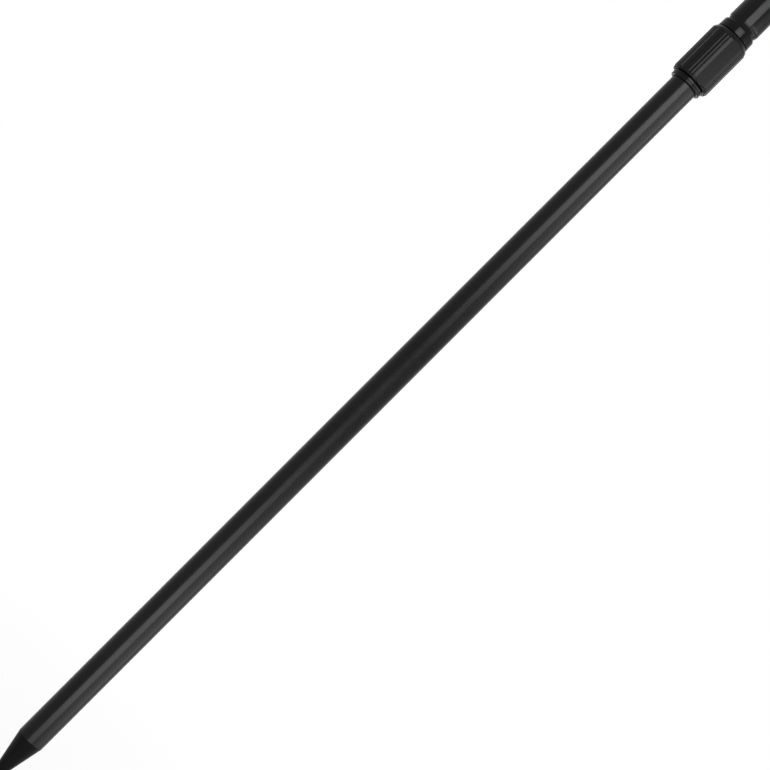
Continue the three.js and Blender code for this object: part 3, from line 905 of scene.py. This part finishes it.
glide_ring = turn("glide_low", [
    (glide_bore, glide_foot),
    (glide_rim, glide_foot),
    (glide_rim, glide_foot + glide_height),
    (glide_bore, glide_foot + glide_height),
    (glide_bore, glide_foot),
])
soften(glide_ring, 0.15)
combine(glide_ring, block(
    "split",
    (glide_bore - cut_overrun, -glide_split / 2, glide_foot - cut_overrun),
    (glide_rim + cut_overrun, glide_split / 2, glide_foot + glide_height + cut_overrun),
), "DIFFERENCE")
upper_ring = glide_ring.copy()
upper_ring.data = glide_ring.data.copy()
upper_ring.name = "glide_high"
bpy.context.collection.objects.link(upper_ring)
bpy.ops.object.select_all(action="DESELECT")
upper_ring.select_set(True)
bpy.context.view_layer.objects.active = upper_ring
bpy.ops.transform.translate(value=(0, 0, glide_step * MM))
bpy.ops.object.transform_apply(location=True, rotation=True, scale=True)
wear(glide_ring, acetal, "glide", "acetal", "glide_ring_lower")
wear(upper_ring, acetal, "glide", "acetal", "glide_ring_upper")

# ---- Inner tube: aluminium, drawn and anodised like the outer one. It is bonded to the head and the tail bush,
# slides inside the outer tube and shows when the stick is pulled out.
inner_tube_foot, inner_tube_top = (corner.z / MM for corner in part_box("inner_tube"))
inner_tube_radius = 6
inner_tube_bore = 5

upper_tube = drawn_tube("upper_tube", inner_tube_radius, inner_tube_bore, inner_tube_foot, inner_tube_top)
soften(upper_tube, 0.08)
wear(upper_tube, tube_black, "upper", "tube_black", "inner_tube")

# ---- Head: turned aluminium, anodised black. Its boss drops into the nut's nose, a taper and a fine cut line
# lead to the plain body, and its top is bored for the threaded bush.
head_foot = 569.7
head_spigot = 4.7
head_spigot_foot = -20.6
head_spigot_bevel = 0.8
head_boss = 8.7
head_boss_foot = -2.6
head_taper = ((8.73, -1.1), (9.1, 0.3), (9.22, 0.85), (9.28, 1.13))
head_line_radius = 9.2
head_line_top = 1.25
head_edge_foot_radius = 9.37
head_edge_radius = 9.625
head_edge_top = 1.85
head_radius = 9.7
head_body_foot = 2.7
head_length = 37.3
head_top_bevel = 0.6
head_ring_step = 1
head_socket = 6.8
head_socket_floor = 22.8

turned_black, nodes, links, shader = finish("turned_black", (0.0012, 0.0013, 0.0016), 0.14)
rings = effect(nodes, turning_marks, Coarse=0.25)
relief(nodes, links, shader, rings.outputs["Height"], 0.0006)
haze = effect(nodes, clouds, Least=0.12, Most=0.17)
links.new(haze.outputs["Roughness"], shader.inputs["Roughness"])
# Lighter edges: partly rubbed, partly a painted highlight of the edges catching the light
rubbing_and_highlight = effect(nodes, edge_rub_and_highlight, Reach=0.12, Amount=0.7)
two_colours(nodes, links, shader, rubbing_and_highlight.outputs["Mask"], (0.0012, 0.0013, 0.0016), (0.02, 0.02, 0.022))

top_head = turn("top_head", [(radius, head_foot + height) for radius, height in [
    (0, head_spigot_foot),
    (head_spigot - head_spigot_bevel, head_spigot_foot),
    (head_spigot, head_spigot_foot + head_spigot_bevel),
    (head_spigot, head_boss_foot),
    (head_boss, head_boss_foot),
    (head_boss, head_taper[0][1]),
    *head_taper,
    (head_line_radius, head_taper[-1][1]),
    (head_line_radius, head_line_top),
    (head_edge_foot_radius, head_line_top),
    (head_edge_radius, head_edge_top),
    (head_radius, head_body_foot),
    (head_radius, head_body_foot + head_ring_step),
    (head_radius, head_length - head_top_bevel - head_ring_step),
    (head_radius, head_length - head_top_bevel),
    (head_radius - head_top_bevel, head_length),
    (head_socket, head_length),
    (head_socket, head_socket_floor),
    (0, head_socket_floor),
]])
soften(top_head, 0.04, 12)
wear(top_head, turned_black, "upper", "turned_black", "head")

# ---- Threaded bush: knurled brass, pressed into the top of the head and turned, with the rod rest's 3/8 in
# thread of twenty turns to the inch. Its mouth is countersunk for the screws that go in.
bush_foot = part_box("thread_insert")[0].z / MM
bush_radius = 6.5
bush_height = 14
bush_bevel = 0.4
knurl_count = 24
knurl_depth = 0.35
knurl_segments = 4
knurl_reach = 0.01
screw_major = 4.7625
screw_minor = 3.95
screw_pitch = 1.27
screw_mouth = 5.3625
screw_half_mouth = 0.5
screw_half_floor = 0.125
screw_overrun = 2
screw_steps = 48

brass, nodes, links, shader = finish("brass", (0.62, 0.43, 0.17), 0.5, 1.0)
rings = effect(nodes, turning_marks, Coarse=0.5)
relief(nodes, links, shader, rings.outputs["Height"], 0.002)
haze = effect(nodes, clouds, Least=0.24, Most=0.42)
links.new(haze.outputs["Roughness"], shader.inputs["Roughness"])
two_colours(nodes, links, shader, haze.outputs["Mask"], (0.66, 0.47, 0.2), (0.5, 0.33, 0.12))

mouth_foot = bush_height - (screw_mouth - screw_minor)
bush = turn("bush_brass", [(radius, bush_foot + height) for radius, height in [
    (screw_minor, 0),
    (bush_radius - bush_bevel, 0),
    (bush_radius, bush_bevel),
    (bush_radius, bush_height - bush_bevel),
    (bush_radius - bush_bevel, bush_height),
    (screw_mouth, bush_height),
    (screw_minor, mouth_foot),
    (screw_minor, 0),
]], knurl_count * knurl_segments)
bpy.ops.object.mode_set(mode="EDIT")
for share, sides in ((1, (0,)), (0.5, (1, knurl_segments - 1))):
    bpy.ops.mesh.select_all(action="DESELECT")
    bm = bmesh.from_edit_mesh(bush.data)
    for vertex in bm.verts:
        column = round(math.atan2(vertex.co.y, vertex.co.x) / (2 * math.pi) * knurl_count * knurl_segments)
        if math.hypot(vertex.co.x, vertex.co.y) > (bush_radius - knurl_reach) * MM:
            vertex.select = column % knurl_segments in sides
    bmesh.update_edit_mesh(bush.data)
    size = 1 - knurl_depth * share / bush_radius
    bpy.ops.transform.resize(value=(size, size, 1), center_override=(0, 0, 0))
bpy.ops.object.mode_set(mode="OBJECT")
screw_turns = math.ceil(bush_height / screw_pitch) + screw_overrun
combine(bush, winding("screw_thread", [
    (screw_minor - screw_half_mouth, -screw_half_mouth),
    (screw_minor, -screw_half_mouth),
    (screw_major, -screw_half_floor),
    (screw_major, screw_half_floor),
    (screw_minor, screw_half_mouth),
    (screw_minor - screw_half_mouth, screw_half_mouth),
], screw_pitch, bush_foot - screw_pitch, screw_turns, screw_steps), "DIFFERENCE")
wear(bush, brass, "upper", "insert_brass", "thread_insert")
